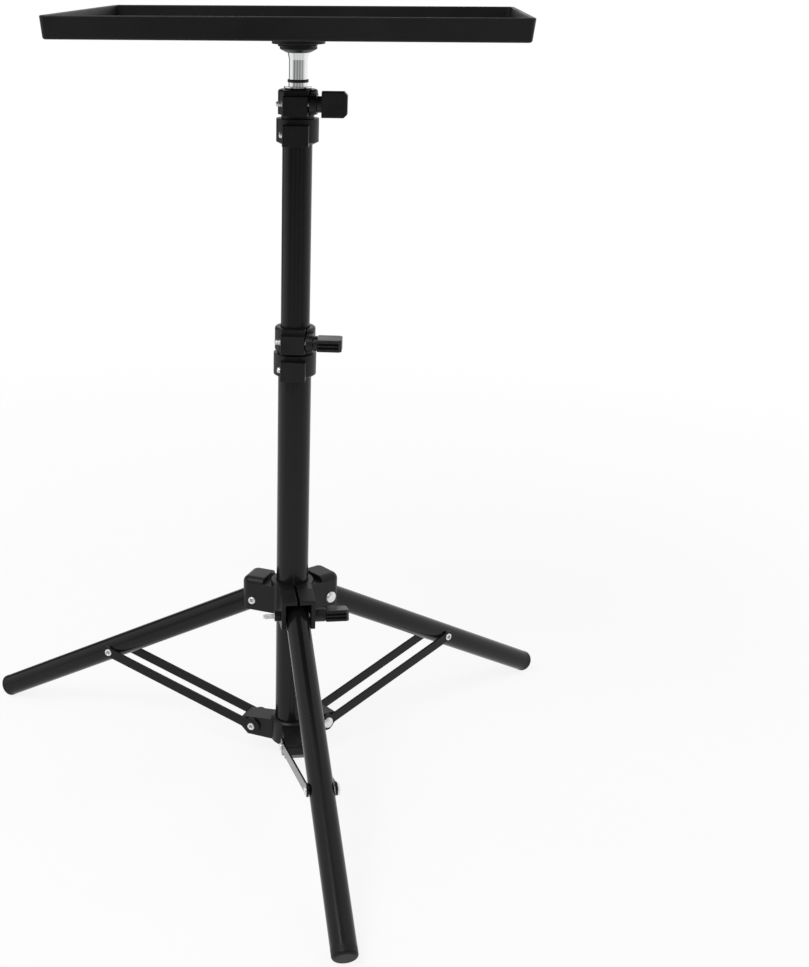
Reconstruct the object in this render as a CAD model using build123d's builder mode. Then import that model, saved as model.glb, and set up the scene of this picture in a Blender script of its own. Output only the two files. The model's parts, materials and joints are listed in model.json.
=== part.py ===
from build123d import *
from math import cos, hypot, radians, sin
import os

# A portable projector stand: a folding tripod, a column of three telescoping tubes with screw clamps,
# and a shallow tray that turns on a spigot. Millimetres, +X right, +Y back, +Z up.
# The origin is on the floor under the column axis, and the model stands with its legs spread.

# Column tubes
column_od = 30.0
mid_od = 26.0
top_od = 22.0
tube_wall = 1.0
mid_tube_length = 441.0
top_tube_length = 403.0
fit_gap = 0.1  # radial, between pieces that are fixed to each other
slide_gap = 0.2  # radial, between a tube and the bore that guides it
running_gap = 0.3  # between flat faces that turn past each other

# Clamps at the tops of the column tube and the middle tube
mid_clamp_z = 392.0
top_clamp_z = 596.5
clamp_height = 45.5
clamp_seat = 22.0  # how far a tube reaches up into its clamp
sleeve_height = 21.8
sleeve_front_height = 17.5
groove_height = 3.2
mid_sleeve_wall = 4.1
mid_ring_wall = 5.0
top_sleeve_wall = 5.2
top_ring_wall = 5.8
groove_wall = 1.0
sleeve_chamfer = 2.3
sleeve_lip = 0.6  # wall left at the sleeve's lower edge
ring_edge = 2.0
ring_flat = 0.5  # how far the flat above the bolt block stands proud of the ring
block_left = 11.3
block_height = 16.0
block_fillet = 1.5
ear_thickness = 6.2
ear_radius = 7.5
slit_width = 1.0
slit_inset = 0.2  # how far the slit's centre is inside the top tube's radius
bolt_web = 4.1  # between the bolt and the bore for the middle tube
bolt_cover = 2.7  # in front of the bolt
clamp_bolt_rise = 34.8

# Screws and wing knobs
bolt_od = 5.0
bolt_hole_gap = 0.2
clamp_nut_flats = 8.0
clamp_nut_thickness = 4.0
collar_nut_flats = 9.0
nut_rotation = 30.0  # degrees, so that a flat faces the front
collar_nut_thickness = 5.3
clamp_bolt_tip = 5.5  # beyond the bolt block
collar_bolt_tip = 10.7  # beyond the nut
knob_neck_od = 13.5
clamp_neck_length = 3.8
collar_neck_length = 10.2
knob_length = 21.6
knob_width = 21.4
knob_thickness = 10.7
knob_chamfer = 3.0
knob_fillet = 1.2
knob_rim = 2.7
knob_recess = 3.5
knob_rib = 1.2  # left standing in the middle of each hollow side
bolt_in_knob = 14.0
collar_knob_turn = 12.0  # degrees that the collar's wing leans back from level

# Tripod linkage
leg_azimuths = {"front": -77.5, "right": 42.5, "left": 162.5}
leg_spread = 61.34  # degrees from vertical
collar_pivot_radius = 34.8
collar_pivot_z = 169.5
hub_pivot_radius = 36.5
hub_pivot_z = 32.0
brace_reach = 184.5  # from the leg's top pivot to the brace's pivot
leg_od = 22.0
leg_head = 8.0  # how far the leg goes on past its top pivot
foot_length = 8.0
foot_plug_length = 12.0
foot_edge = 3.0
pin_od = 6.0
pin_gap = 0.1
bar_thickness = 2.0
bar_height = 10.0
bar_side_gap = 0.4
hub_eye_radius = 8.5
leg_eye_radius = 6.0

# Leg collar
collar_od = 40.0
collar_bottom_z = 159.7
ring_top_z = 192.0
yoke_side_gap = 0.8  # between a leg and its cheeks
yoke_wall = 4.0
yoke_reach = 46.3
yoke_throat = 20.6  # radius where the leg slot begins
hood_top_z = 192.5
hood_inner = 24.0
hood_step = 5.0  # from the hood's top down to the shelf beside the ring
hood_end_wall = 2.0
hood_corner = 7.5  # at the hood's outer end, seen from above
hood_fillet = 6.5
lip_gap = 0.5  # between a spread leg and the hood's end wall
front_shoulder = 25.0
front_lip_z = 188.0
front_lip = 3.7
front_edge = 1.5
seam_width = 2.4

# Brace hub
hub_wall = 3.9
hub_bottom_z = 20.0
hub_top_z = 46.0
hub_floor = 3.0
hub_toe = 2.0
hub_edge = 2.0
lug_side_gap = 0.4  # between a lug and the bars beside it
lug_root_z = 42.5
lug_end_z = 40.0
lug_bottom_z = 21.5
lug_overhang = 13.0  # beyond the pivot
lug_corner = 4.0
lug_toe = 8.0

# Rivets
rivet_head_od = 11.0
rivet_head_height = 2.6
rivet_roll_od = 7.2
rivet_roll_height = 1.6
rivet_dimple_od = 3.4

# Spigot between the top tube and the tray
stop_gap = 1.0
washer_od = 24.3
washer_thickness = 1.5
step_od = 16.4
step_height = 3.0
ring_od = 18.0
ring_thickness = 2.5
spigot_od = 15.9
spigot_height = 16.0
flare_od = 18.3
flare_height = 5.5
stud_od = 10.0
stud_clear = 0.5
spigot_plug = 23.0

# Tray and its flange
tray_width = 370.0
tray_depth = 295.0
tray_height = 17.5
tray_draft = 6.5
tray_wall = 3.0
tray_corner = 4.0
tray_edge = 2.0
tray_rim_edge = 1.0
tray_floor_fillet = 2.5
boss_od = 80.0
boss_height = 5.0
flange_od = 45.0
flange_thickness = 3.8
flange_hub_od = 31.6
flange_hub_height = 4.2
flange_taper = 2.7
flange_nose_od = 21.0

# Heights and lengths that follow from the sizes above
column_foot_z = hub_bottom_z + hub_floor
hub_radius = column_od / 2 + fit_gap + hub_wall
clamp_bolt_y = -(mid_od / 2 + slide_gap + bolt_web + bolt_od / 2)
block_front = -clamp_bolt_y + bolt_od / 2 + bolt_cover
slit_x = top_od / 2 - slit_inset
ear_start = slit_x + slit_width / 2
ear_face = ear_start + ear_thickness
column_top_z = mid_clamp_z + clamp_seat
mid_top_z = top_clamp_z + clamp_seat
top_top_z = top_clamp_z + clamp_height + stop_gap
leg_length = (collar_pivot_z - foot_edge - (leg_od / 2 - foot_edge) * sin(radians(leg_spread))) / cos(
    radians(leg_spread)
) + foot_edge
brace_pivot_r = collar_pivot_radius + brace_reach * sin(radians(leg_spread))
brace_pivot_z = collar_pivot_z - brace_reach * cos(radians(leg_spread))
bar_inner = leg_od / 2 + bar_side_gap
bar_outer = bar_inner + bar_thickness
lug_half = bar_inner - lug_side_gap
slot_half = leg_od / 2 + yoke_side_gap
yoke_half = slot_half + yoke_wall
shelf_z = hood_top_z - hood_step
leg_slope = cos(radians(leg_spread)) / sin(radians(leg_spread))
leg_top_at_lip = (
    collar_pivot_z
    - (yoke_reach - hood_end_wall - collar_pivot_radius) * leg_slope
    + leg_od / 2 / sin(radians(leg_spread))
)
collar_pins = {"front": bolt_od, "right": pin_od, "left": pin_od}

os.makedirs("parts", exist_ok=True)


def save(piece, name):
    piece.part.label = name
    export_step(piece.part, f"parts/{name}.step")


def leg_plane(azimuth):
    # Upright plane through the column axis and one leg: x runs outwards and y runs up.
    turn = radians(azimuth)
    return Plane(origin=(0, 0, 0), x_dir=(cos(turn), sin(turn), 0), z_dir=(sin(turn), -cos(turn), 0))


def pin_plane(azimuth, radius, height):
    # Plane at a pivot of one leg whose normal runs along the pin.
    flat = leg_plane(azimuth)
    return Plane(origin=flat.from_local_coords((radius, height, 0)), x_dir=flat.x_dir, z_dir=-flat.z_dir)


def leg_axis_plane(azimuth):
    # Plane at a leg's top pivot whose normal runs down the leg.
    flat = leg_plane(azimuth)
    spread = radians(leg_spread)
    down = flat.x_dir * sin(spread) - flat.y_dir * cos(spread)
    pivot = flat.from_local_coords((collar_pivot_radius, collar_pivot_z, 0))
    return Plane(origin=pivot, x_dir=flat.z_dir, z_dir=down)


def hood_block(azimuth):
    # Block with a round end and a round top edge, stepped down where it meets the collar's ring.
    flat = leg_plane(azimuth)
    base = Plane(origin=(0, 0, collar_bottom_z), x_dir=flat.x_dir, z_dir=flat.y_dir)
    with BuildPart() as piece:
        with BuildSketch(base) as outline:
            Rectangle(yoke_reach, 2 * yoke_half, align=(Align.MIN, Align.CENTER))
            fillet(outline.vertices().group_by(Axis.X)[-1], hood_corner)
        extrude(amount=hood_top_z - collar_bottom_z)
        fillet(piece.faces().sort_by(Axis.Z)[-1].edges(), hood_fillet)
        with BuildSketch(flat):
            with Locations((0, shelf_z)):
                Rectangle(hood_inner, hood_step, align=Align.MIN)
        extrude(amount=yoke_half, both=True, mode=Mode.SUBTRACT)
    return piece


def tube(od, bottom, top):
    with BuildPart() as piece:
        with BuildSketch(Plane.XY.offset(bottom)):
            Circle(od / 2)
            Circle(od / 2 - tube_wall, mode=Mode.SUBTRACT)
        extrude(amount=top - bottom)
    return piece


def tube_clamp(base_z, outer_tube_od, inner_tube_od, sleeve_wall, ring_wall):
    # Moulded clamp: a sleeve fixed on the outer tube and a split ring that grips the inner tube.
    seat_r = outer_tube_od / 2 + fit_gap
    guide_r = inner_tube_od / 2 + slide_gap
    sleeve_r = seat_r + sleeve_wall
    ring_r = guide_r + ring_wall
    ring_z = base_z + sleeve_height + groove_height
    top_z = base_z + clamp_height
    bolt_z = base_z + clamp_bolt_rise
    with BuildPart() as piece:
        with BuildSketch(Plane.XZ):
            with BuildLine():
                Polyline(
                    (ring_r - ring_edge, top_z),
                    (0, top_z),
                    (0, base_z),
                    (seat_r + sleeve_lip, base_z),
                    (sleeve_r, base_z + sleeve_chamfer),
                    (sleeve_r, base_z + sleeve_height),
                    (seat_r + groove_wall, base_z + sleeve_height),
                    (seat_r + groove_wall, ring_z),
                    (ring_r, ring_z),
                    (ring_r, top_z - ring_edge),
                )
                RadiusArc((ring_r, top_z - ring_edge), (ring_r - ring_edge, top_z), -ring_edge)
            make_face()
        revolve(axis=Axis.Z)
        # Flat front of the sleeve
        with BuildSketch(Plane.XY.offset(base_z)):
            with Locations((0, -block_front / 2)):
                RectangleRounded(2 * block_left, block_front, block_fillet)
        extrude(amount=sleeve_front_height)
        # Flat front of the ring, the bolt block on it, and a round-ended ear to the right of the slit
        for front, height in ((ring_r + ring_flat, top_z - ring_z), (block_front, block_height)):
            with BuildSketch(Plane.XY.offset(ring_z)):
                with Locations(((ear_start - block_left) / 2, -front / 2)):
                    RectangleRounded(block_left + ear_start, front, block_fillet)
            extrude(amount=height)
        with BuildSketch(Plane.YZ.offset(ear_start)):
            with Locations((clamp_bolt_y, bolt_z)):
                Circle(ear_radius)
            with Locations((clamp_bolt_y / 2, bolt_z)):
                Rectangle(-clamp_bolt_y, 2 * ear_radius)
        extrude(amount=ear_thickness)
        with BuildSketch(Plane.XY.offset(base_z)):
            Circle(seat_r)
        extrude(amount=clamp_seat, mode=Mode.SUBTRACT)
        with BuildSketch(Plane.XY.offset(base_z)):
            Circle(guide_r)
        extrude(amount=clamp_height, mode=Mode.SUBTRACT)
        with BuildSketch(Plane.XY.offset(ring_z)):
            with Locations((slit_x, -block_front)):
                Rectangle(slit_width, 2 * block_front)
        extrude(amount=clamp_height, mode=Mode.SUBTRACT)
        with BuildSketch(Plane.YZ.offset(-block_left)):
            with Locations((clamp_bolt_y, bolt_z)):
                Circle(bolt_od / 2 + bolt_hole_gap)
        extrude(amount=block_left + ear_face, mode=Mode.SUBTRACT)
        with BuildSketch(Plane.YZ.offset(-block_left)):
            with Locations((clamp_bolt_y, bolt_z)):
                RegularPolygon(clamp_nut_flats / 2 + fit_gap, 6, major_radius=False, rotation=nut_rotation)
        extrude(amount=clamp_nut_thickness, mode=Mode.SUBTRACT)
    return piece


def hex_nut(plane, start, flats, thickness):
    # Nut on a bolt whose axis is the plane's normal, from start towards the bolt's tip.
    with BuildPart() as piece:
        with BuildSketch(plane.offset(-start)):
            RegularPolygon(flats / 2, 6, major_radius=False, rotation=nut_rotation)
            Circle(bolt_od / 2 + bolt_hole_gap, mode=Mode.SUBTRACT)
        extrude(amount=-thickness)
    return piece


def wing_knob(plane, face, neck_length):
    # Knob on a bolt: a round neck at the clamped face, then a flat wing with hollow narrow sides.
    wing = face + running_gap + neck_length
    recess_height = knob_thickness - 2 * knob_rim
    with BuildPart() as piece:
        with BuildSketch(plane.offset(face + running_gap)):
            Circle(knob_neck_od / 2)
        extrude(amount=neck_length)
        with BuildSketch(plane.offset(wing)):
            RectangleRounded(knob_width, knob_thickness, knob_fillet)
        extrude(amount=knob_length)
        with BuildSketch(Plane(origin=plane.origin, x_dir=plane.x_dir, z_dir=-plane.y_dir)):
            for side in (1, -1):
                with BuildLine():
                    Polyline(
                        (side * knob_width / 2, wing + knob_length),
                        (side * (knob_width / 2 - knob_chamfer), wing + knob_length),
                        (side * knob_width / 2, wing + knob_length - knob_chamfer),
                        close=True,
                    )
                make_face()
        extrude(amount=knob_thickness, both=True, mode=Mode.SUBTRACT)
        with BuildSketch(plane.offset(wing)):
            with GridLocations(knob_width, (recess_height + knob_rib) / 2, 2, 2):
                Rectangle(2 * knob_recess, (recess_height - knob_rib) / 2)
        extrude(amount=knob_length - knob_rim, mode=Mode.SUBTRACT)
        with BuildSketch(plane.offset(face)):
            Circle(bolt_od / 2 + fit_gap)
        extrude(amount=running_gap + neck_length + bolt_in_knob, mode=Mode.SUBTRACT)
    return piece


def knob_bolt(plane, tip, face, neck_length):
    with BuildPart() as piece:
        with BuildSketch(plane.offset(-tip)):
            Circle(bolt_od / 2)
        extrude(amount=tip + face + running_gap + neck_length + bolt_in_knob)
    return piece


def rivet(plane, grip):
    # Rivet through a pivot: a domed head on one side and a rolled hollow end on the other.
    with BuildPart() as piece:
        with BuildSketch(plane.offset(-grip)):
            Circle(pin_od / 2)
        extrude(amount=2 * grip)
        add_rivet_ends(plane, grip)
    return piece


def add_rivet_ends(plane, grip):
    with BuildSketch(plane.offset(-grip)) as head:
        Circle(rivet_head_od / 2)
    extrude(head.sketch, amount=-rivet_head_height)
    with BuildSketch(plane.offset(grip)) as roll:
        Circle(rivet_roll_od / 2)
        Circle(rivet_dimple_od / 2, mode=Mode.SUBTRACT)
    extrude(roll.sketch, amount=rivet_roll_height)


# Column tube, middle tube and top tube
save(tube(column_od, column_foot_z, column_top_z), "column_tube")
save(tube(mid_od, mid_top_z - mid_tube_length, mid_top_z), "mid_tube")
save(tube(top_od, top_top_z - top_tube_length, top_top_z), "top_tube")

# Clamps with their nuts, bolts and knobs
clamps = {
    "mid_clamp": (mid_clamp_z, column_od, mid_od, mid_sleeve_wall, mid_ring_wall, (0, 1, 0)),
    "top_clamp": (top_clamp_z, mid_od, top_od, top_sleeve_wall, top_ring_wall, (0, 0, 1)),
}
for clamp_name, (base_z, outer_od, inner_od, sleeve_wall, ring_wall, wide_dir) in clamps.items():
    bolt_centre = (0, clamp_bolt_y, base_z + clamp_bolt_rise)
    bolt_plane = Plane(origin=bolt_centre, x_dir=wide_dir, z_dir=(1, 0, 0))
    nut_plane = Plane(origin=bolt_centre, x_dir=(0, 1, 0), z_dir=(1, 0, 0))
    nut_start = block_left - clamp_nut_thickness
    tip = block_left + clamp_bolt_tip
    save(tube_clamp(base_z, outer_od, inner_od, sleeve_wall, ring_wall), clamp_name)
    save(hex_nut(nut_plane, nut_start, clamp_nut_flats, clamp_nut_thickness), f"{clamp_name}_nut")
    save(wing_knob(bolt_plane, ear_face, clamp_neck_length), f"{clamp_name}_knob")
    save(knob_bolt(bolt_plane, tip, ear_face, clamp_neck_length), f"{clamp_name}_bolt")

# Brace hub: a cup that closes the column's foot, with one lug for each brace
lug_end = hub_pivot_radius + lug_overhang
with BuildPart() as brace_hub:
    with BuildSketch(Plane.XZ):
        with BuildLine():
            Polyline(
                (0, hub_bottom_z),
                (hub_radius - hub_toe, hub_bottom_z),
                (hub_radius, hub_bottom_z + hub_toe),
                (hub_radius, hub_top_z - hub_edge),
                (hub_radius - hub_edge, hub_top_z),
                (0, hub_top_z),
                close=True,
            )
        make_face()
    revolve(axis=Axis.Z)
    for azimuth in leg_azimuths.values():
        with BuildSketch(leg_plane(azimuth)):
            with BuildLine():
                Polyline(
                    (lug_end - lug_corner, lug_end_z),
                    (hub_radius, lug_root_z),
                    (0, lug_root_z),
                    (0, lug_bottom_z),
                    (lug_end - lug_toe, lug_bottom_z),
                    (lug_end, lug_bottom_z + lug_toe),
                    (lug_end, lug_end_z - lug_corner),
                )
                RadiusArc((lug_end, lug_end_z - lug_corner), (lug_end - lug_corner, lug_end_z), -lug_corner)
            make_face()
        extrude(amount=lug_half, both=True)
    with BuildSketch(Plane.XY.offset(column_foot_z)):
        Circle(column_od / 2 + fit_gap)
    extrude(amount=hub_top_z, mode=Mode.SUBTRACT)
    for azimuth in leg_azimuths.values():
        with BuildSketch(pin_plane(azimuth, hub_pivot_radius, hub_pivot_z)):
            Circle(pin_od / 2 + pin_gap)
        extrude(amount=2 * lug_half, both=True, mode=Mode.SUBTRACT)
save(brace_hub, "brace_hub")

# Leg collar: a split ring that slides on the column, two hooded yokes and a low-roofed front yoke
hoods = [hood_block(leg_azimuths[side]) for side in ("right", "left")]
with BuildPart() as leg_collar:
    with BuildSketch(Plane.XY.offset(collar_bottom_z)):
        Circle(collar_od / 2)
    extrude(amount=ring_top_z - collar_bottom_z)
    for hood in hoods:
        add(hood.part)
    with BuildSketch(leg_plane(leg_azimuths["front"])):
        with BuildLine():
            FilletPolyline(
                (0, collar_bottom_z),
                (yoke_reach, collar_bottom_z),
                (yoke_reach, front_lip_z),
                (front_shoulder, ring_top_z),
                (0, ring_top_z),
                radius=front_edge,
                close=False,
            )
            Line((0, ring_top_z), (0, collar_bottom_z))
        make_face()
    extrude(amount=yoke_half, both=True)
    # Leg slots: the hoods close them above and at the end, the front roof only above
    for side in ("right", "left"):
        with BuildSketch(leg_plane(leg_azimuths[side])):
            with BuildLine():
                Polyline(
                    (yoke_throat, collar_bottom_z),
                    (yoke_reach, collar_bottom_z),
                    (yoke_reach, leg_top_at_lip + lip_gap),
                    (yoke_reach - hood_end_wall, leg_top_at_lip + lip_gap),
                    (yoke_reach - hood_end_wall, hood_top_z - hood_fillet),
                    (yoke_reach - hood_fillet, hood_top_z - yoke_wall),
                    (hood_inner + yoke_wall, hood_top_z - yoke_wall),
                    (hood_inner, shelf_z - yoke_wall),
                    (yoke_throat, shelf_z - yoke_wall),
                    close=True,
                )
            make_face()
        extrude(amount=slot_half, both=True, mode=Mode.SUBTRACT)
    with BuildSketch(leg_plane(leg_azimuths["front"])):
        with Locations((yoke_throat, collar_bottom_z)):
            Rectangle(yoke_reach, front_lip_z - front_lip - collar_bottom_z, align=Align.MIN)
    extrude(amount=slot_half, both=True, mode=Mode.SUBTRACT)
    # Seam that lets the front screw close the ring
    with BuildSketch(leg_plane(leg_azimuths["front"])):
        with Locations((0, collar_bottom_z)):
            Rectangle(yoke_reach, ring_top_z - collar_bottom_z, align=Align.MIN)
    extrude(amount=seam_width / 2, both=True, mode=Mode.SUBTRACT)
    with BuildSketch(Plane.XY.offset(collar_bottom_z)):
        Circle(column_od / 2 + slide_gap)
    extrude(amount=hood_top_z, mode=Mode.SUBTRACT)
    for side, azimuth in leg_azimuths.items():
        with BuildSketch(pin_plane(azimuth, collar_pivot_radius, collar_pivot_z)):
            Circle(collar_pins[side] / 2 + pin_gap)
        extrude(amount=2 * yoke_half, both=True, mode=Mode.SUBTRACT)
save(leg_collar, "leg_collar")

# The collar's screw is also the front leg's pivot
collar_plane = pin_plane(leg_azimuths["front"], collar_pivot_radius, collar_pivot_z)
collar_tip = yoke_half + collar_nut_thickness + collar_bolt_tip
knob_lean = radians(collar_knob_turn)
wing_dir = collar_plane.x_dir * cos(knob_lean) - collar_plane.y_dir * sin(knob_lean)
knob_plane = Plane(origin=collar_plane.origin, x_dir=wing_dir, z_dir=collar_plane.z_dir)
save(hex_nut(collar_plane, yoke_half, collar_nut_flats, collar_nut_thickness), "collar_nut")
save(wing_knob(knob_plane, yoke_half, collar_neck_length), "collar_knob")
save(knob_bolt(collar_plane, collar_tip, yoke_half, collar_neck_length), "collar_bolt")

for side, azimuth in leg_azimuths.items():
    axis_plane = leg_axis_plane(azimuth)
    tube_end = leg_length - foot_length

    with BuildPart() as leg:
        with BuildSketch(axis_plane.offset(-leg_head)):
            Circle(leg_od / 2)
            Circle(leg_od / 2 - tube_wall, mode=Mode.SUBTRACT)
        extrude(amount=leg_head + tube_end)
        with BuildSketch(pin_plane(azimuth, collar_pivot_radius, collar_pivot_z)):
            Circle(collar_pins[side] / 2 + pin_gap)
        extrude(amount=leg_od, both=True, mode=Mode.SUBTRACT)
    save(leg, f"{side}_leg")

    with BuildPart() as foot:
        with BuildSketch(axis_plane.offset(tube_end)):
            Circle(leg_od / 2)
        extrude(amount=foot_length)
        fillet(foot.faces().sort_by(Axis(axis_plane.origin, axis_plane.z_dir))[-1].edges(), foot_edge)
        with BuildSketch(axis_plane.offset(tube_end)):
            Circle(leg_od / 2 - tube_wall - fit_gap)
        extrude(amount=-foot_plug_length)
    save(foot, f"{side}_foot")

    if side != "front":
        collar_pin = pin_plane(azimuth, collar_pivot_radius, collar_pivot_z)
        save(rivet(collar_pin, yoke_half), f"{side}_collar_rivet")
    hub_pin = pin_plane(azimuth, hub_pivot_radius, hub_pivot_z)
    save(rivet(hub_pin, bar_outer + running_gap), f"{side}_hub_rivet")

    # Brace: two flat bars on either side of the leg and of the hub's lug
    brace_length = hypot(brace_pivot_r - hub_pivot_radius, brace_pivot_z - hub_pivot_z)
    flat = leg_plane(azimuth)
    brace_root = flat.from_local_coords((hub_pivot_radius, hub_pivot_z, 0))
    brace_tip = flat.from_local_coords((brace_pivot_r, brace_pivot_z, 0))
    brace_plane = Plane(origin=brace_root, x_dir=brace_tip - brace_root, z_dir=flat.z_dir)
    for bar_name, way in {"inner": 1, "outer": -1}.items():
        with BuildPart() as bar:
            with BuildSketch(brace_plane.offset(way * bar_inner)):
                with Locations((brace_length / 2, 0)):
                    Rectangle(brace_length, bar_height)
                Circle(hub_eye_radius)
                with Locations((brace_length, 0)):
                    Circle(leg_eye_radius)
                Circle(pin_od / 2 + pin_gap, mode=Mode.SUBTRACT)
                with Locations((brace_length, 0)):
                    Circle(pin_od / 2 + pin_gap, mode=Mode.SUBTRACT)
            extrude(amount=way * bar_thickness)
        save(bar, f"{side}_brace_bar_{bar_name}")

    end_plane = pin_plane(azimuth, brace_pivot_r, brace_pivot_z)
    with BuildPart() as brace_rivet:
        for way in (1, -1):
            with BuildSketch(end_plane.offset(way * bar_inner)):
                Circle(pin_od / 2)
            extrude(amount=way * bar_thickness)
        add_rivet_ends(end_plane, bar_outer)
    save(brace_rivet, f"{side}_brace_rivet")

# Spigot: plugs the top tube and carries the washer, the ring and the tray
step_top_z = top_top_z + washer_thickness + step_height
shaft_top_z = step_top_z + ring_thickness + spigot_height
flare_top_z = shaft_top_z + flare_height
nose_z = flare_top_z + running_gap
flange_top_z = nose_z + flange_taper + flange_hub_height + flange_thickness
with BuildPart() as spigot:
    with BuildSketch(Plane.XZ):
        with BuildLine():
            Polyline(
                (0, top_top_z - spigot_plug),
                (top_od / 2 - tube_wall - fit_gap, top_top_z - spigot_plug),
                (top_od / 2 - tube_wall - fit_gap, top_top_z),
                (step_od / 2, top_top_z),
                (step_od / 2, step_top_z),
                (spigot_od / 2, step_top_z),
                (spigot_od / 2, shaft_top_z),
                (flare_od / 2, flare_top_z),
                (stud_od / 2, flare_top_z),
                (stud_od / 2, flange_top_z - stud_clear),
                (0, flange_top_z - stud_clear),
                close=True,
            )
        make_face()
    revolve(axis=Axis.Z)
save(spigot, "spigot")

with BuildPart() as spigot_washer:
    with BuildSketch(Plane.XY.offset(top_top_z)):
        Circle(washer_od / 2)
        Circle(step_od / 2 + fit_gap, mode=Mode.SUBTRACT)
    extrude(amount=washer_thickness)
save(spigot_washer, "spigot_washer")

with BuildPart() as spigot_ring:
    with BuildSketch(Plane.XY.offset(step_top_z)):
        Circle(ring_od / 2)
        Circle(spigot_od / 2 + fit_gap, mode=Mode.SUBTRACT)
    extrude(amount=ring_thickness)
save(spigot_ring, "spigot_ring")

with BuildPart() as tray_flange:
    with BuildSketch(Plane.XZ):
        with BuildLine():
            Polyline(
                (stud_od / 2 + slide_gap, nose_z),
                (flange_nose_od / 2, nose_z),
                (flange_hub_od / 2, nose_z + flange_taper),
                (flange_hub_od / 2, nose_z + flange_taper + flange_hub_height),
                (flange_od / 2, nose_z + flange_taper + flange_hub_height),
                (flange_od / 2, flange_top_z),
                (stud_od / 2 + slide_gap, flange_top_z),
                close=True,
            )
        make_face()
    revolve(axis=Axis.Z)
save(tray_flange, "tray_flange")

# Tray: a shallow drafted pan with a round boss under its floor
tray_bottom_z = flange_top_z + boss_height
draft_run = tray_height * sin(radians(tray_draft)) / cos(radians(tray_draft))
with BuildPart() as tray:
    with BuildSketch(Plane.XY.offset(tray_bottom_z)):
        RectangleRounded(tray_width - 2 * draft_run, tray_depth - 2 * draft_run, tray_corner)
    extrude(amount=tray_height, taper=-tray_draft)
    fillet(tray.faces().sort_by(Axis.Z)[0].edges(), tray_edge)
    with BuildSketch(Plane.XY.offset(tray_bottom_z + tray_height)):
        RectangleRounded(tray_width - 2 * tray_wall, tray_depth - 2 * tray_wall, tray_corner)
    extrude(amount=-(tray_height - tray_wall), taper=tray_draft, mode=Mode.SUBTRACT)
    fillet(tray.faces().filter_by(Axis.Z).sort_by(Axis.Z)[1].edges(), tray_floor_fillet)
    fillet(tray.faces().sort_by(Axis.Z)[-1].edges(), tray_rim_edge)
    with BuildSketch(Plane.XY.offset(flange_top_z)):
        Circle(boss_od / 2)
    extrude(amount=boss_height + tray_wall / 2)
save(tray, "tray")
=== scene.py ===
import bpy
import json
import math
from mathutils import Matrix, Vector

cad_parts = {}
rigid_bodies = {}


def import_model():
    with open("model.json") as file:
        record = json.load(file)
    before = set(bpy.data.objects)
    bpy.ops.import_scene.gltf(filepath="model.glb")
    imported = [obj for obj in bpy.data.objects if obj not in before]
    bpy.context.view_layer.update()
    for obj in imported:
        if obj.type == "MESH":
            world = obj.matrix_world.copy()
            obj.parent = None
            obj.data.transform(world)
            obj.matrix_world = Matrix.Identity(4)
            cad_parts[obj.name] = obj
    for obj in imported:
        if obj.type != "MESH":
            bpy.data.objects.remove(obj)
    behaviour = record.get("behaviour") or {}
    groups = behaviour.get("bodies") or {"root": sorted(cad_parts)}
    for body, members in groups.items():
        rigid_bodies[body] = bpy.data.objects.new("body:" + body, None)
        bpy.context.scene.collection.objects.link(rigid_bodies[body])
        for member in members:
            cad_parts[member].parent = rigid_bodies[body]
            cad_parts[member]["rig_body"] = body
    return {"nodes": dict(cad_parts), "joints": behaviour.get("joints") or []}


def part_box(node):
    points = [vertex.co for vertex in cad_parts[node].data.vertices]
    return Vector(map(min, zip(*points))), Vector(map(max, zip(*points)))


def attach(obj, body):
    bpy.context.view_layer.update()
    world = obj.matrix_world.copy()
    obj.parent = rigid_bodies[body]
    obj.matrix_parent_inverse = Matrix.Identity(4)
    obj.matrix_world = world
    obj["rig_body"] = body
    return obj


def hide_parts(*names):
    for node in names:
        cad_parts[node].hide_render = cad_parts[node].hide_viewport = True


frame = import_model()
nodes = frame["nodes"]
joints = {joint["name"]: joint for joint in frame["joints"]}
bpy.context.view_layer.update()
scene = bpy.context.scene
sides = ("front", "right", "left")
print("frame:", len(nodes), "nodes")


# Camera, in metres

photoView = {
    "spot": (0.1035, -1.2774, 0.7426),
    "heading": (-0.1099, 0.9939),  # level direction of the view
    "dip": 20.08,  # degrees below level
    "lens": 54.48, "sensor": 36.0,  # millimetres
    "shift": (0.1567, 0.0142),
    "roll": 0.10,  # degrees
}


def addCamera():
    bpy.ops.object.camera_add(location=photoView["spot"])
    camera = bpy.context.object
    dip = math.radians(photoView["dip"])
    east, north = photoView["heading"]
    ahead = Vector((east * math.cos(dip), north * math.cos(dip), -math.sin(dip)))
    roll = Matrix.Rotation(math.radians(photoView["roll"]), 3, "Z")
    camera.rotation_euler = (ahead.to_track_quat("-Z", "Y").to_matrix() @ roll).to_euler()
    camera.data.lens = photoView["lens"]
    camera.data.sensor_width = photoView["sensor"]
    camera.data.shift_x, camera.data.shift_y = photoView["shift"]
    scene.camera = camera


addCamera()
print("camera placed")


# Node helpers

def addNode(tree, kind, **values):
    node = tree.nodes.new(kind)
    for name, value in values.items():
        setattr(node, name, value)
    return node


def newGroup(name, inputs, outputs):
    tree = bpy.data.node_groups.new(name, "ShaderNodeTree")
    for socketName, start in inputs.items():
        socket = tree.interface.new_socket(socketName, in_out="INPUT", socket_type="NodeSocketFloat")
        socket.default_value = start
    for socketName in outputs:
        tree.interface.new_socket(socketName, in_out="OUTPUT", socket_type="NodeSocketFloat")
    return tree, addNode(tree, "NodeGroupInput"), addNode(tree, "NodeGroupOutput")


# A number is set on the socket, and another node's output is linked to it
def feed(tree, socket, value):
    if isinstance(value, float):
        socket.default_value = value
    else:
        tree.links.new(value, socket)


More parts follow.
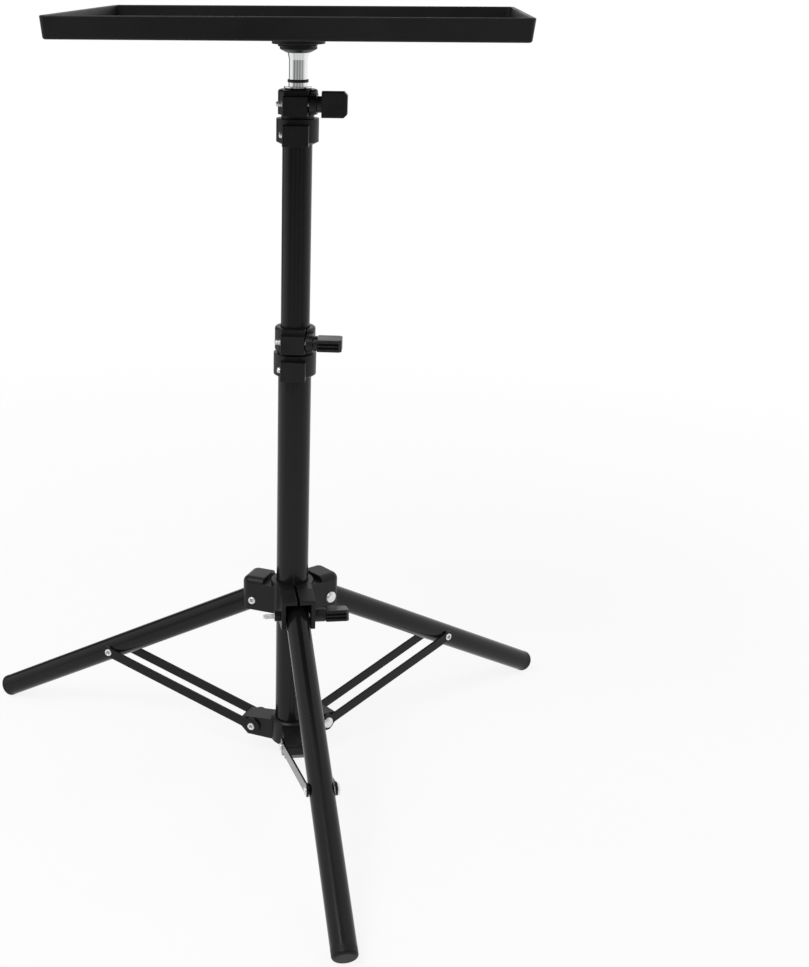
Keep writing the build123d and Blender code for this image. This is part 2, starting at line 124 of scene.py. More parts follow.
def noiseFrom(tree, vector, scale, detail, roughness):
    noise = addNode(tree, "ShaderNodeTexNoise")
    noise.inputs["Detail"].default_value = detail
    noise.inputs["Roughness"].default_value = roughness
    tree.links.new(vector, noise.inputs["Vector"])
    feed(tree, noise.inputs["Scale"], scale)
    return noise.outputs["Fac"]


def mathFrom(tree, operation, first, second):
    node = addNode(tree, "ShaderNodeMath", operation=operation)
    feed(tree, node.inputs[0], first)
    feed(tree, node.inputs[1], second)
    return node.outputs["Value"]


def rangeFrom(tree, value, fromLow, fromHigh, toLow=0.0, toHigh=1.0):
    node = addNode(tree, "ShaderNodeMapRange")
    tree.links.new(value, node.inputs["Value"])
    for socketName, number in (
        ("From Min", fromLow), ("From Max", fromHigh), ("To Min", toLow), ("To Max", toHigh)
    ):
        node.inputs[socketName].default_value = number
    return node.outputs["Result"]


def mixShaders(tree, share, first, second):
    mix = addNode(tree, "ShaderNodeMixShader")
    tree.links.new(share, mix.inputs["Fac"])
    tree.links.new(first, mix.inputs[1])
    tree.links.new(second, mix.inputs[2])
    return mix.outputs["Shader"]


# Grain: the fine relief of a coat or a moulding, and the slow change of tone across it
grainLook = {
    "grains": 1200.0, "patches": 14.0,  # per metre, until a finish sets its own
    "grainNoise": (2.0, 0.55), "patchNoise": (4.0, 0.6),  # detail and roughness
    "toneSpan": (0.32, 0.68),  # part of the patch noise that goes from dark to light
}


def makeGrainGroup():
    look = grainLook
    inputs = {"Grains Per Metre": look["grains"], "Patches Per Metre": look["patches"]}
    tree, given, made = newGroup("grain", inputs, ["Height", "Tone"])
    place = addNode(tree, "ShaderNodeTexCoord").outputs["Object"]
    fine = noiseFrom(tree, place, given.outputs["Grains Per Metre"], *look["grainNoise"])
    cell = addNode(tree, "ShaderNodeTexVoronoi", feature="SMOOTH_F1")
    tree.links.new(place, cell.inputs["Vector"])
    tree.links.new(given.outputs["Grains Per Metre"], cell.inputs["Scale"])
    total = mathFrom(tree, "ADD", fine, cell.outputs["Distance"])
    tree.links.new(mathFrom(tree, "MULTIPLY", total, 0.5), made.inputs["Height"])  # the mean of the two
    patches = noiseFrom(tree, place, given.outputs["Patches Per Metre"], *look["patchNoise"])
    tree.links.new(rangeFrom(tree, patches, *look["toneSpan"]), made.inputs["Tone"])
    return tree


# Hairlines: faint rubbed lines that run along Z and across it, gathered in patches
hairlineLook = {
    "lines": 900.0,  # per metre, until a finish sets its own
    "patches": 22.0,  # per metre
    "stretches": ((1.0, 1.0, 0.02), (0.02, 0.03, 1.0)),  # along Z, and across it
    "lineNoise": (1.0, 0.5), "patchNoise": (2.0, 0.5),  # detail and roughness
    "lineSpan": (0.62, 0.74), "patchSpan": (0.45, 0.7),  # part of each noise that goes from none to full
}


def makeHairlineGroup():
    look = hairlineLook
    tree, given, made = newGroup("hairlines", {"Lines Per Metre": look["lines"]}, ["Lines"])
    place = addNode(tree, "ShaderNodeTexCoord").outputs["Object"]
    masks = []
    for stretch in look["stretches"]:
        mapping = addNode(tree, "ShaderNodeMapping")
        tree.links.new(place, mapping.inputs["Vector"])
        mapping.inputs["Scale"].default_value = stretch
        stretched = mapping.outputs["Vector"]
        lines = noiseFrom(tree, stretched, given.outputs["Lines Per Metre"], *look["lineNoise"])
        masks.append(rangeFrom(tree, lines, *look["lineSpan"]))
    patchNoise = noiseFrom(tree, place, look["patches"], *look["patchNoise"])
    patches = rangeFrom(tree, patchNoise, *look["patchSpan"])
    both = mathFrom(tree, "MAXIMUM", masks[0], masks[1])
    tree.links.new(mathFrom(tree, "MULTIPLY", both, patches), made.inputs["Lines"])
    return tree


grainGroup = makeGrainGroup()
hairlineGroup = makeHairlineGroup()


# A finish: grain drives the colour, gloss and relief of one Principled shader, and hairlines dull it
def makeFinish(name, look):
    material = bpy.data.materials.new(name)
    material.use_nodes = True
    tree = material.node_tree
    shader = tree.nodes["Principled BSDF"]
    shader.inputs["Metallic"].default_value = look["metallic"]
    shader.inputs["Specular IOR Level"].default_value = look["specular"]
    grain = addNode(tree, "ShaderNodeGroup", node_tree=grainGroup)
    grain.inputs["Grains Per Metre"].default_value = look["grains"]
    grain.inputs["Patches Per Metre"].default_value = look["patches"]
    rubbed = addNode(tree, "ShaderNodeGroup", node_tree=hairlineGroup)
    rubbed.inputs["Lines Per Metre"].default_value = look["lines"]
    colour = addNode(tree, "ShaderNodeMix", data_type="RGBA")
    colour.inputs["A"].default_value = (*look["dark"], 1.0)
    colour.inputs["B"].default_value = (*look["light"], 1.0)
    tree.links.new(grain.outputs["Tone"], colour.inputs["Factor"])
    tree.links.new(colour.outputs["Result"], shader.inputs["Base Color"])
    smoothest, roughest = look["roughness"]
    gloss = rangeFrom(tree, grain.outputs["Tone"], 0.0, 1.0, smoothest, roughest)
    worn = mathFrom(tree, "MULTIPLY", rubbed.outputs["Lines"], look["rub"])
    tree.links.new(mathFrom(tree, "ADD", gloss, worn), shader.inputs["Roughness"])
    bump = addNode(tree, "ShaderNodeBump")
    bump.inputs["Strength"].default_value = look["relief"]
    bump.inputs["Distance"].default_value = look["depth"]
    tree.links.new(grain.outputs["Height"], bump.inputs["Height"])
    tree.links.new(bump.outputs["Normal"], shader.inputs["Normal"])
    return material


# The colour lies between dark and light, and the roughness between its two values, patch by patch. A hairline
# adds rub to the roughness. Lines, grains and patches are per metre, and the relief's depth is in metres.
satinPaintLook = {
    "metallic": 0.0, "specular": 0.20,
    "dark": (0.0055, 0.0055, 0.0057), "light": (0.0085, 0.0085, 0.0088),
    "roughness": (0.17, 0.24), "rub": 0.08, "lines": 900.0,
    "grains": 1500.0, "patches": 9.0, "relief": 0.08, "depth": 0.00008,
}
mouldingLook = {
    "metallic": 0.0, "specular": 0.22,
    "dark": (0.0062, 0.0062, 0.0064), "light": (0.0096, 0.0096, 0.0099),
    "roughness": (0.32, 0.42), "rub": 0.08, "lines": 1400.0,
    "grains": 2600.0, "patches": 40.0, "relief": 0.22, "depth": 0.00010,
}
knobLook = {
    "metallic": 0.0, "specular": 0.28,
    "dark": (0.0068, 0.0068, 0.0070), "light": (0.0108, 0.0108, 0.0111),
    "roughness": (0.30, 0.40), "rub": 0.12, "lines": 1600.0,
    "grains": 3000.0, "patches": 60.0, "relief": 0.16, "depth": 0.00008,
}
trayLook = {
    "metallic": 0.0, "specular": 0.16,
    "dark": (0.0060, 0.0060, 0.0063), "light": (0.0100, 0.0100, 0.0104),
    "roughness": (0.32, 0.42), "rub": 0.08, "lines": 700.0,
    "grains": 1100.0, "patches": 12.0, "relief": 0.20, "depth": 0.00012,
}
rubberLook = {
    "metallic": 0.0, "specular": 0.18,
    "dark": (0.0060, 0.0060, 0.0062), "light": (0.0100, 0.0100, 0.0103),
    "roughness": (0.40, 0.52), "rub": 0.10, "lines": 1200.0,
    "grains": 1800.0, "patches": 50.0, "relief": 0.25, "depth": 0.00010,
}
zincLook = {
    "metallic": 0.65, "specular": 0.5,
    "dark": (0.700, 0.705, 0.710), "light": (0.830, 0.835, 0.840),
    "roughness": (0.26, 0.38), "rub": 0.14, "lines": 2200.0,
    "grains": 1600.0, "patches": 160.0, "relief": 0.10, "depth": 0.00005,
}
chromeLook = {
    "metallic": 1.0, "specular": 0.5,
    "dark": (0.780, 0.785, 0.790), "light": (0.860, 0.865, 0.870),
    "roughness": (0.04, 0.09), "rub": 0.10, "lines": 1800.0,
    "grains": 900.0, "patches": 50.0, "relief": 0.02, "depth": 0.00004,
}

finishes = {
    "black_paint": makeFinish("satinPaint", satinPaintLook),
    "black_moulding": makeFinish("texturedMoulding", mouldingLook),
    "knob_plastic": makeFinish("knobMoulding", knobLook),
    "tray_plastic": makeFinish("trayPebble", trayLook),
    "ring_plastic": makeFinish("ringMoulding", knobLook),
    "zinc": makeFinish("brightZinc", zincLook),
    "chrome": makeFinish("polishedChrome", chromeLook),
    "foot_rubber": makeFinish("footRubber", rubberLook),
}
print("finishes:", len(finishes))


# CAD nodes take a finish by what they are
def finishOf(nodeName):
    if nodeName == "collar_nut":
        return "black_moulding"  # black as the collar, where the other nuts are bright
    if nodeName.endswith(("_rivet", "_nut", "_bolt")):
        return "zinc"
    if nodeName.endswith("_knob"):
        return "knob_plastic"
    if nodeName.endswith("_foot"):
        return "foot_rubber"
    if nodeName in ("mid_clamp", "top_clamp", "leg_collar", "brace_hub", "tray_flange"):
        return "black_moulding"
    return {
        "tray": "tray_plastic", "spigot": "chrome", "spigot_washer": "chrome", "spigot_ring": "ring_plastic"
    }.get(nodeName, "black_paint")


for nodeName, node in nodes.items():
    node.data.materials.clear()
    node.data.materials.append(finishes[finishOf(nodeName)])
print("CAD nodes finished")


# Modelling helpers

def selectOnly(piece):
    bpy.ops.object.select_all(action="DESELECT")
    bpy.context.view_layer.objects.active = piece
    piece.select_set(True)


def openMesh(piece):
    selectOnly(piece)
    bpy.ops.object.mode_set(mode="EDIT")
    bpy.ops.mesh.select_all(action="SELECT")


usualSmooth = 35.0  # degrees between two faces, up to which their edge is shaded smooth


def smoothFaces(piece, angle=usualSmooth):
    selectOnly(piece)
    bpy.ops.object.shade_smooth_by_angle(angle=math.radians(angle))


def closeMesh(piece, smoothAngle=usualSmooth):
    bpy.ops.object.mode_set(mode="OBJECT")
    smoothFaces(piece, smoothAngle)


def applyPlace(piece):
    selectOnly(piece)
    bpy.ops.object.transform_apply(location=True, rotation=True, scale=True)


# Turned solid about Z: a disc is extruded and resized from one (radius, height) to the next
def turnedPiece(name, profile, around=32):
    radius, height = profile[0]
    bpy.ops.object.select_all(action="DESELECT")
    bpy.ops.mesh.primitive_circle_add(
        vertices=around, radius=radius, fill_type="NGON", location=(0, 0, height)
    )
    piece = bpy.context.object
    piece.name = name
    applyPlace(piece)
    openMesh(piece)
    for nextRadius, nextHeight in profile[1:]:
        bpy.ops.mesh.extrude_region_move(TRANSFORM_OT_translate={"value": (0, 0, nextHeight - height)})
        change = nextRadius / radius
        bpy.ops.transform.resize(value=(change, change, 1), center_override=(0, 0, nextHeight))
        radius, height = nextRadius, nextHeight
    bpy.ops.mesh.select_all(action="SELECT")
    bpy.ops.mesh.normals_make_consistent(inside=False)
    closeMesh(piece)
    return piece


def cutWith(piece, tool, operation):
    selectOnly(piece)
    bpy.ops.object.modifier_add(type="BOOLEAN")
    cut = piece.modifiers[-1]
    cut.operation = operation
    cut.object = tool
    bpy.ops.object.modifier_apply(modifier=cut.name)
    bpy.data.objects.remove(tool)


def joinInto(piece, *others):
    selectOnly(piece)
    for other in others:
        other.select_set(True)
    bpy.ops.object.join()
    return piece


# Copy with its own mesh: the master's Z goes along axis, and its Y as near to up as that allows
def placeCopy(master, name, spot, axis, up=(0.0, 0.0, 1.0)):
    along = Vector(axis).normalized()
    sideways = Vector(up).cross(along).normalized()
    turn = Matrix((sideways, along.cross(sideways), along)).transposed().to_4x4()
    piece = bpy.data.objects.new(name, master.data.copy())
    scene.collection.objects.link(piece)
    piece.matrix_world = Matrix.Translation(spot) @ turn
    applyPlace(piece)
    return piece


def dropMasters(*masters):
    for master in masters:
        bpy.data.objects.remove(master)


def pieceName(nodeName):
    first, *rest = nodeName.split("_")
    return first + "".join(word.capitalize() for word in rest)


def dress(piece, slot, body):
    piece.data.materials.clear()
    piece.data.materials.append(finishes[slot])
    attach(piece, body)


# The piece takes a CAD node's place, on the node's own body
def standIn(piece, nodeName):
    dress(piece, finishOf(nodeName), nodes[nodeName]["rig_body"])
    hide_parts(nodeName)


# How far a node reaches to both sides of a point, along an axis
def reachAlong(nodeName, spot, axis):
    places = [(vertex.co - spot).dot(axis) for vertex in nodes[nodeName].data.vertices]
    return min(places), max(places)


# Mouldings and bars: copies of the CAD shapes with their outer edges rounded, radius in metres
edgeRounding = {
    "mid_clamp": 0.0004, "top_clamp": 0.0004,
    "leg_collar": 0.0005, "brace_hub": 0.0006, "tray_flange": 0.0006,
    "mid_clamp_knob": 0.0004, "top_clamp_knob": 0.0004, "collar_knob": 0.0004,
    "spigot_ring": 0.0006, "spigot_washer": 0.0004,
}
barRounding = 0.0004
barLayers = ("inner", "outer")  # each brace has two bars
roundingLook = {
    "steps": 3,
    "sharpTurn": 38.0,  # degrees between two faces, from which their edge is rounded
    "smoothAngle": 40.0,
    "merge": 0.000002,  # distance within which the loose triangles' corners are joined
}


# Selects the sharp edges that stand out, and leaves the inside corners
def selectOuterEdges(mesh):
    sharing = {}
    for face in mesh.polygons:
        for key in face.edge_keys:
            sharing.setdefault(key, []).append(face)
    for edge in mesh.edges:
        faces = sharing[edge.key]
        if len(faces) == 2:
            first, second = faces
            turn = first.normal.angle(second.normal, 0.0)
            standsOut = (second.center - mesh.vertices[edge.key[0]].co).dot(first.normal) < 0
            edge.select = turn > math.radians(roundingLook["sharpTurn"]) and standsOut


def roundedCopy(nodeName, radius):
    look = roundingLook
    piece = bpy.data.objects.new(pieceName(nodeName), nodes[nodeName].data.copy())
    scene.collection.objects.link(piece)
    openMesh(piece)
    bpy.ops.mesh.select_mode(type="EDGE")
    bpy.ops.mesh.customdata_custom_splitnormals_clear()
    bpy.ops.mesh.remove_doubles(threshold=look["merge"])
    bpy.ops.mesh.select_all(action="DESELECT")
    bpy.ops.object.mode_set(mode="OBJECT")
    selectOuterEdges(piece.data)
    bpy.ops.object.mode_set(mode="EDIT")
    bpy.ops.mesh.bevel(
        offset_type="OFFSET", offset=radius, segments=look["steps"], clamp_overlap=False, loop_slide=False
    )
    closeMesh(piece, look["smoothAngle"])
    bpy.ops.object.modifier_add(type="WEIGHTED_NORMAL")
    evened = piece.modifiers[-1]
    evened.keep_sharp = True
    bpy.ops.object.modifier_apply(modifier=evened.name)
    standIn(piece, nodeName)


for side in sides:
    for layer in barLayers:
        edgeRounding[f"{side}_brace_bar_{layer}"] = barRounding
for nodeName, radius in edgeRounding.items():
    roundedCopy(nodeName, radius)
print("rounded copies:", len(edgeRounding))


# Rivets: a domed head with a shallow dimple, a shank, and a rolled hollow end
rivetLook = {
    "headRadius": 0.0055, "headHeight": 0.0026, "headRim": 0.0006,
    "domeAngle": 62.0, "domeSteps": 7,  # degrees of the dome's curve from the rim up
    "dimpleRadius": 0.0016, "dimpleDepth": 0.0003, "dimpleFloor": 0.6,  # floor as a share of the radius
    "shankRadius": 0.003,
    "rollRadius": 0.0036, "rollHeight": 0.0016, "rollSteps": 6,
    "holeRadius": 0.0018, "holeDepth": 0.0018, "holeFloor": 0.9,  # floor as a share of the radius
    "stub": 0.002,  # shank left in each bar of a brace
    "turned": ("front_hub_rivet", "front_brace_rivet", "right_brace_rivet"),  # head on the other side
    "lengthDigits": 5,  # rivets whose length is the same to so many decimals share a master
}


def rivetHeadProfile(grip):
    look = rivetLook
    base = grip + look["headRim"]
    top = grip + look["headHeight"]
    rise = look["headHeight"] - look["headRim"]
    wholeAngle = math.radians(look["domeAngle"])
    profile = [(look["headRadius"], grip), (look["headRadius"], base)]
    for step in range(1, look["domeSteps"] + 1):
        angle = wholeAngle * step / look["domeSteps"]
        lift = rise * math.sin(angle) / math.sin(wholeAngle)
        profile.append((look["headRadius"] * math.cos(angle), base + lift))
    profile += [
        (look["dimpleRadius"], top),
        (look["dimpleRadius"] * look["dimpleFloor"], top - look["dimpleDepth"]),
    ]
    return profile


def rivetRollProfile(grip):
    look = rivetLook
    middle = (look["rollRadius"] + look["holeRadius"]) / 2
    half = (look["rollRadius"] - look["holeRadius"]) / 2
    profile = [(look["rollRadius"], grip)]
    for step in range(look["rollSteps"] + 1):
        angle = math.pi * step / look["rollSteps"]
        lift = look["rollHeight"] - half + half * math.sin(angle)
        profile.append((middle + half * math.cos(angle), grip + lift))
    profile.append((look["holeRadius"] * look["holeFloor"], grip - look["holeDepth"]))
    return profile


# Modelled with the head along Z; a brace's rivet has no shank between its two bars
def rivetMaster(grip, shankThrough):
    shank = rivetLook["shankRadius"]
    stubStart = grip - rivetLook["stub"]
    headStart = -stubStart if shankThrough else stubStart
    head = turnedPiece("rivetMaster", [(shank, headStart), (shank, grip)] + rivetHeadProfile(grip))
    tail = turnedPiece("rivetTail", [(shank, stubStart), (shank, grip)] + rivetRollProfile(grip))
    tail.rotation_euler = (math.pi, 0, 0)
    applyPlace(tail)
    return joinInto(head, tail)


rivetMasters = {}  # by half the length between head and roll, and whether the shank goes through


def addRivet(nodeName, spot, across, shankThrough):
    look = rivetLook
    headWay = -across if nodeName in look["turned"] else across
    low, high = reachAlong(nodeName, spot, headWay)
    grip = round((high - low - look["headHeight"] - look["rollHeight"]) / 2, look["lengthDigits"])
    kind = (grip, shankThrough)
    if kind not in rivetMasters:
        rivetMasters[kind] = rivetMaster(*kind)
    standIn(placeCopy(rivetMasters[kind], pieceName(nodeName), spot, headWay), nodeName)


# Along a leg's pivots, which are level and square to the leg
def acrossLeg(side):
    return Vector(joints[f"{side}_brace_fold"]["axis"]).normalized()


# Midway between the two bars of a brace, at its end on the leg
def braceEnd(side):
    lowest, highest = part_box(f"{side}_brace_rivet")
    spot = (lowest + highest) / 2
    across = acrossLeg(side)
    bars = [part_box(f"{side}_brace_bar_{layer}") for layer in barLayers]
    middle = sum(((low + high) / 2 for low, high in bars), Vector()) / 2
    return spot + across * (middle - spot).dot(across)


for side in sides:
    across = acrossLeg(side)
    if side != "front":
        addRivet(f"{side}_collar_rivet", Vector(joints[f"{side}_leg_fold"]["pos_m"]), across, True)
    addRivet(f"{side}_hub_rivet", Vector(joints[f"{side}_brace_fold"]["pos_m"]), across, True)
    addRivet(f"{side}_brace_rivet", braceEnd(side), across, False)
print("rivets placed, from", len(rivetMasters), "masters")
dropMasters(*rivetMasters.values())


# Bolts: a plain shank, then a helical thread to the tip
boltLook = {
    "radius": 0.0025, "rootRadius": 0.00205, "pitch": 0.0008, "stepsPerTurn": 20, "endChamfer": 0.0006,
    "sink": 0.00005,  # how far the thread's ridge is let into the core
    "merge": 0.000001,  # distance within which the corners of the ridge's turns are joined
    "threadLengths": {"mid_clamp_bolt": 0.012, "top_clamp_bolt": 0.012, "collar_bolt": 0.020},
}
knobJoints = {"mid_clamp": "mid_knob_turn", "top_clamp": "top_knob_turn", "collar": "collar_knob_turn"}


# From a clamp's knob to the nut on the far end of its bolt
def tipWay(clampName):
    lowKnob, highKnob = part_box(f"{clampName}_knob")
    lowNut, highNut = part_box(f"{clampName}_nut")
    axis = Vector(joints[knobJoints[clampName]]["axis"]).normalized()
    return axis if (lowNut + highNut - lowKnob - highKnob).dot(axis) > 0 else -axis


# A triangle that points outwards is carried up a helix. It is 1.5 of its radii high, and its middle lies a
# third of the way up.
def threadRidge(start, end):
    look = boltLook
    depth = look["radius"] - look["rootRadius"] + look["sink"]
    foot = look["rootRadius"] - look["sink"]
    bpy.ops.object.select_all(action="DESELECT")
    bpy.ops.mesh.primitive_circle_add(
        vertices=3, radius=depth / 1.5,
        rotation=(math.pi / 2, math.pi / 2, 0), location=(foot + depth / 3, 0, start),
    )
    ridge = bpy.context.object
    applyPlace(ridge)
    bpy.ops.object.modifier_add(type="SCREW")
    screw = ridge.modifiers[-1]
    screw.screw_offset = look["pitch"]
    screw.iterations = int((end - start) / look["pitch"])
    screw.steps = screw.render_steps = look["stepsPerTurn"]
    bpy.ops.object.modifier_apply(modifier=screw.name)
    openMesh(ridge)
    bpy.ops.mesh.remove_doubles(threshold=look["merge"])
    bpy.ops.mesh.fill_holes(sides=3)
    bpy.ops.mesh.normals_make_consistent(inside=False)
    closeMesh(ridge)
    return ridge


# Modelled with the tip along Z
def boltMaster(low, high, threadLength):
    look = boltLook
    threadStart = high - threadLength
    core = turnedPiece("boltMaster", [
        (look["radius"], low),
        (look["radius"], threadStart),
        (look["rootRadius"], threadStart + look["endChamfer"]),
        (look["rootRadius"], high - look["endChamfer"]),
        (look["rootRadius"] - look["endChamfer"], high),
    ])
    return joinInto(core, threadRidge(threadStart + look["endChamfer"], high - 2 * look["endChamfer"]))


def addBolt(clampName):
    nodeName = f"{clampName}_bolt"
    spot = Vector(joints[knobJoints[clampName]]["pos_m"])
    towardsTip = tipWay(clampName)
    low, high = reachAlong(nodeName, spot, towardsTip)
    master = boltMaster(low, high, boltLook["threadLengths"][nodeName])
    standIn(placeCopy(master, pieceName(nodeName), spot, towardsTip), nodeName)
    dropMasters(master)


# Nuts: a hexagon whose corners are turned down to a cone at both ends, bored for the bolt
nutLook = {
    "coneDrop": 0.0006, "coneSides": 48,
    "boreRadius": 0.0026, "boreFlare": 0.0005, "boreSides": 32,
    "overcut": 0.001,  # how far the drill goes past both faces
    "smoothAngle": 25.0,
}


def nutMaster(flats, thickness):
    look = nutLook
    inner = flats / 2
    corner = inner / math.cos(math.pi / 6)
    nut = turnedPiece("nutMaster", [(corner, 0.0), (corner, thickness)], around=6)
    cone = turnedPiece("nutCone", [
        (inner, 0.0),
        (corner, look["coneDrop"]),
        (corner, thickness - look["coneDrop"]),
        (inner, thickness),
    ], look["coneSides"])
    cutWith(nut, cone, "INTERSECT")
    bore = look["boreRadius"]
    mouth = bore + look["boreFlare"] + look["overcut"]
    drill = turnedPiece("nutDrill", [
        (mouth, -look["overcut"]),
        (bore, look["boreFlare"]),
        (bore, thickness - look["boreFlare"]),
        (mouth, thickness + look["overcut"]),
    ], look["boreSides"])
    cutWith(nut, drill, "DIFFERENCE")
    smoothFaces(nut, look["smoothAngle"])
    return nut


def addNut(clampName):
    nodeName = f"{clampName}_nut"
    spot = Vector(joints[knobJoints[clampName]]["pos_m"])
    towardsTip = tipWay(clampName)
    near, far = reachAlong(nodeName, spot, towardsTip)
    across = Vector((0.0, 0.0, 1.0)).cross(towardsTip)
    low, high = reachAlong(nodeName, spot, across)
    master = nutMaster(high - low, far - near)
    standIn(placeCopy(master, pieceName(nodeName), spot + towardsTip * near, towardsTip), nodeName)
    dropMasters(master)


for clampName in knobJoints:
    addBolt(clampName)
    addNut(clampName)
print("bolts and nuts placed")


# Cross-head screws: two hold the clamps' sleeves, four hold the tray's flange
screwLook = {
    "wall": 0.45,  # share of the head's height that is straight, below the crown
    "crownFlat": 0.4,  # share of the head's radius that the crown's whole curve would leave flat
    "crownAngles": (20, 40, 58, 72),  # degrees along that curve
    "slotWidth": 0.0008, "slotLength": 0.0030, "slotDepth": 0.0009,
    "sleeveRadius": 0.0026, "sleeveHeight": 0.0029,
    "sleeveRise": 0.0096,  # above the clamp's underside
    "flangeRadius": 0.0026, "flangeHeight": 0.0017,
    "flangeCircle": 0.0192, "flangeCount": 4,
    "flangeLip": 0.0038,  # how far the screws' seats lie below the flange's top
}


def screwMaster(radius, height):
    look = screwLook
    wall, flat = look["wall"], look["crownFlat"]
    profile = [(radius, 0.0), (radius, height * wall)]
    for angle in look["crownAngles"]:
        turn = math.radians(angle)
        reach = flat + (1 - flat) * math.cos(turn)
        lift = wall + (1 - wall) * math.sin(turn)
        profile.append((radius * reach, height * lift))
    screw = turnedPiece("screwMaster", profile)
    for quarter in (0, 1):
        bpy.ops.object.select_all(action="DESELECT")
        bpy.ops.mesh.primitive_cube_add(size=1.0, location=(0, 0, height))
        slot = bpy.context.object
        slot.scale = (look["slotLength"], look["slotWidth"], 2 * look["slotDepth"])
        slot.rotation_euler = (0, 0, quarter * math.pi / 2)
        applyPlace(slot)
        cutWith(screw, slot, "DIFFERENCE")
    smoothFaces(screw)
    return screw


def addSleeveScrews():
    look = screwLook
    master = screwMaster(look["sleeveRadius"], look["sleeveHeight"])
    for clampName in ("mid_clamp", "top_clamp"):
        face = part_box(f"{clampName}_nut")[0].x  # level with the flat that the screw sits on
        boltPlace = joints[knobJoints[clampName]]["pos_m"]
        spot = Vector((face, boltPlace[1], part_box(clampName)[0].z + look["sleeveRise"]))
        screw = placeCopy(master, pieceName(f"{clampName}_sleeve_screw"), spot, (-1.0, 0.0, 0.0))
        dress(screw, "zinc", nodes[clampName]["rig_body"])
    dropMasters(master)


def addFlangeScrews():
    look = screwLook
    master = screwMaster(look["flangeRadius"], look["flangeHeight"])
    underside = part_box("tray_flange")[1].z - look["flangeLip"]
    for number in range(look["flangeCount"]):
        turn = 2 * math.pi * (number + 0.5) / look["flangeCount"]
        east, north = math.cos(turn), math.sin(turn)
        spot = Vector((look["flangeCircle"] * east, look["flangeCircle"] * north, underside))
        screw = placeCopy(master, f"flangeScrew{number + 1}", spot, (0.0, 0.0, -1.0), (east, north, 0.0))
        dress(screw, "black_paint", nodes["tray_flange"]["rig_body"])
    dropMasters(master)


addSleeveScrews()
addFlangeScrews()
print("screws placed")


# Floor and light

studio = {
    "floorSize": 16.0,
    "floorColour": (0.86, 0.86, 0.86), "floorRoughness": 0.9, "floorSpecular": 0.1,
    "whiteNear": 0.86,  # share of plain white that the camera sees in the floor by the stand
    "whiteReach": (0.5, 1.6),  # metres from the stand where that share rises to all
    "skyLight": 0.40,  # strength of the even light from all round
    # What polished faces see of the far room: degrees from the front to the right, and brightness
    "farView": (
        (-180, 1.00), (-158, 1.00), (-150, 0.12), (-126, 0.12), (-116, 1.00), (-72, 1.00),
        (-58, 0.44), (-42, 0.20), (-24, 0.52), (-8, 0.18), (8, 0.48), (24, 0.20),
        (42, 0.55), (56, 0.25), (76, 0.70), (98, 1.00), (180, 1.00),
    ),
    "mirrorReach": (0.5, 2.6),  # metres from the stand where the white floor turns into that view
    # Only a mirrored lamp shows in glossy faces
    "lamps": {
        "keyBox": {"spot": (-0.9, -1.4, 2.4), "size": (1.2, 1.2), "watts": 38.0, "mirrored": True},
        "fillBox": {"spot": (1.4, -1.5, 1.3), "size": (1.0, 1.4), "watts": 8.0, "mirrored": False},
        "rimBoxLeft": {"spot": (-1.5, 0.5, 0.8), "size": (0.6, 1.6), "watts": 6.0, "mirrored": False},
        "rimBoxRight": {"spot": (1.5, 0.7, 0.9), "size": (0.5, 1.6), "watts": 6.0, "mirrored": False},
    },
    "aim": (0.0, 0.0, 0.38),
}
plainWhite = (1.0, 1.0, 1.0, 1.0)


# The far room at a place on the floor or along a direction, by how far round from the front it lies
def farRoom(tree, place):
    along = addNode(tree, "ShaderNodeSeparateXYZ")
    tree.links.new(place, along.inputs["Vector"])
    ahead = mathFrom(tree, "MULTIPLY", along.outputs["Y"], -1.0)
    angle = mathFrom(tree, "ARCTAN2", along.outputs["X"], ahead)
    ramp = addNode(tree, "ShaderNodeValToRGB")
    bands = ramp.color_ramp.elements
    for number, (degrees, level) in enumerate(studio["farView"]):
        turn = (degrees + 180) / 360
        band = bands[number] if number < len(bands) else bands.new(turn)
        band.position = turn
        band.color = (level, level, level, 1.0)
    tree.links.new(rangeFrom(tree, angle, -math.pi, math.pi), ramp.inputs["Fac"])
    return ramp.outputs["Color"]


# Rays that see the background as it is: the camera's own, and those that passed through glass
def plainSight(tree, path):
    return mathFrom(tree, "MAXIMUM", path.outputs["Is Camera Ray"], path.outputs["Is Transmission Ray"])


# Brightness that polished faces see at a place on the floor
def floorLevel(tree, place, away):
    both = addNode(tree, "ShaderNodeMix", data_type="RGBA")
    tree.links.new(rangeFrom(tree, away, *studio["mirrorReach"]), both.inputs["Factor"])
    both.inputs["A"].default_value = plainWhite
    tree.links.new(farRoom(tree, place), both.inputs["B"])
    return both.outputs["Result"]


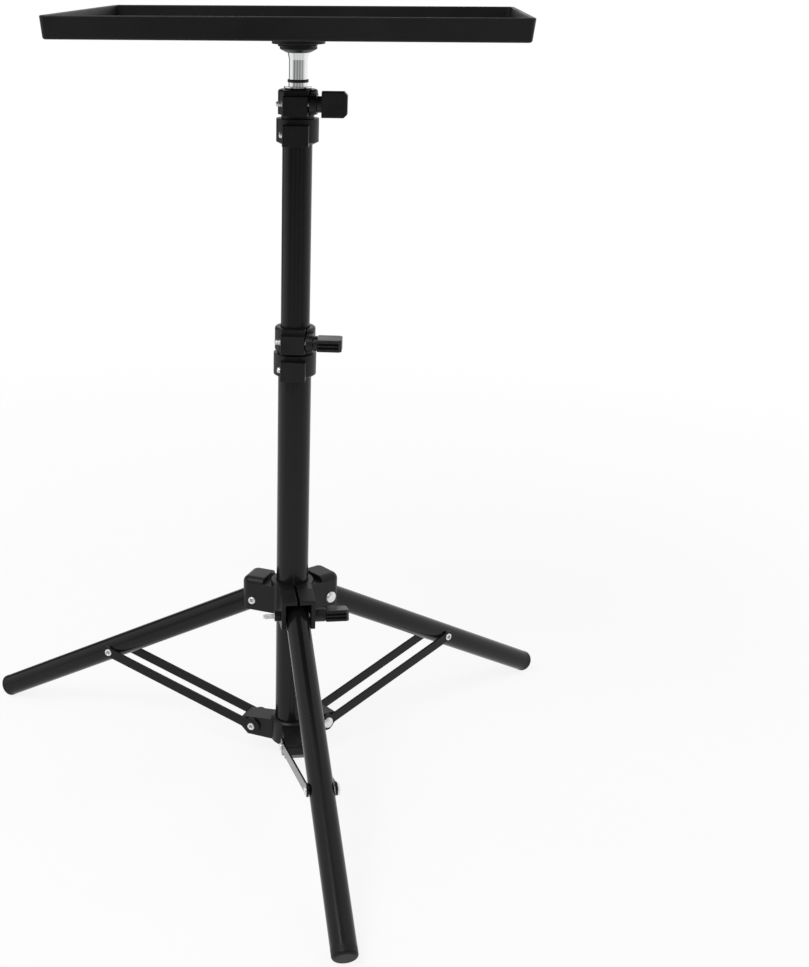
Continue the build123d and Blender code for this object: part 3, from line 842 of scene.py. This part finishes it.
def addFloor():
    bpy.ops.object.select_all(action="DESELECT")
    bpy.ops.mesh.primitive_plane_add(size=studio["floorSize"], location=(0, 0, 0))
    floor = bpy.context.object
    floor.name = "floor"
    material = bpy.data.materials.new("floorPaper")
    material.use_nodes = True
    tree = material.node_tree
    shader = tree.nodes["Principled BSDF"]
    shader.inputs["Base Color"].default_value = (*studio["floorColour"], 1.0)
    shader.inputs["Roughness"].default_value = studio["floorRoughness"]
    shader.inputs["Specular IOR Level"].default_value = studio["floorSpecular"]
    place = addNode(tree, "ShaderNodeTexCoord").outputs["Object"]
    length = addNode(tree, "ShaderNodeVectorMath", operation="LENGTH")
    tree.links.new(place, length.inputs[0])
    away = length.outputs["Value"]
    whiteShare = rangeFrom(tree, away, *studio["whiteReach"], toLow=studio["whiteNear"])
    path = addNode(tree, "ShaderNodeLightPath")
    white = addNode(tree, "ShaderNodeEmission")
    white.inputs["Color"].default_value = plainWhite
    seen = mathFrom(tree, "MULTIPLY", whiteShare, plainSight(tree, path))
    base = mixShaders(tree, seen, shader.outputs["BSDF"], white.outputs["Emission"])
    mirrored = addNode(tree, "ShaderNodeEmission")
    tree.links.new(floorLevel(tree, place, away), mirrored.inputs["Color"])
    whole = mixShaders(tree, path.outputs["Is Glossy Ray"], base, mirrored.outputs["Emission"])
    tree.links.new(whole, tree.nodes["Material Output"].inputs["Surface"])
    floor.data.materials.append(material)


# The world lights evenly; the camera sees it white, and polished faces see the far room
def addWorld():
    world = bpy.data.worlds.new("whiteStudio")
    world.use_nodes = True
    scene.world = world
    tree = world.node_tree
    light = tree.nodes["Background"]
    light.inputs["Strength"].default_value = studio["skyLight"]
    light.inputs["Color"].default_value = plainWhite
    white = addNode(tree, "ShaderNodeBackground")
    white.inputs["Color"].default_value = plainWhite
    mirrored = addNode(tree, "ShaderNodeBackground")
    path = addNode(tree, "ShaderNodeLightPath")
    way = addNode(tree, "ShaderNodeTexCoord").outputs["Generated"]
    tree.links.new(farRoom(tree, way), mirrored.inputs["Color"])
    seen = plainSight(tree, path)
    base = mixShaders(tree, seen, light.outputs["Background"], white.outputs["Background"])
    whole = mixShaders(tree, path.outputs["Is Glossy Ray"], base, mirrored.outputs["Background"])
    tree.links.new(whole, tree.nodes["World Output"].inputs["Surface"])


def addLamps():
    aim = Vector(studio["aim"])
    for name, lamp in studio["lamps"].items():
        bpy.ops.object.light_add(type="AREA", location=lamp["spot"])
        box = bpy.context.object
        box.name = name
        box.data.shape = "RECTANGLE"
        box.data.size, box.data.size_y = lamp["size"]
        box.data.energy = lamp["watts"]
        box.visible_glossy = lamp["mirrored"]
        box.rotation_euler = (aim - box.location).to_track_quat("-Z", "Y").to_euler()


addFloor()
addWorld()
addLamps()
scene.view_settings.view_transform = "Standard"
print("studio lit")
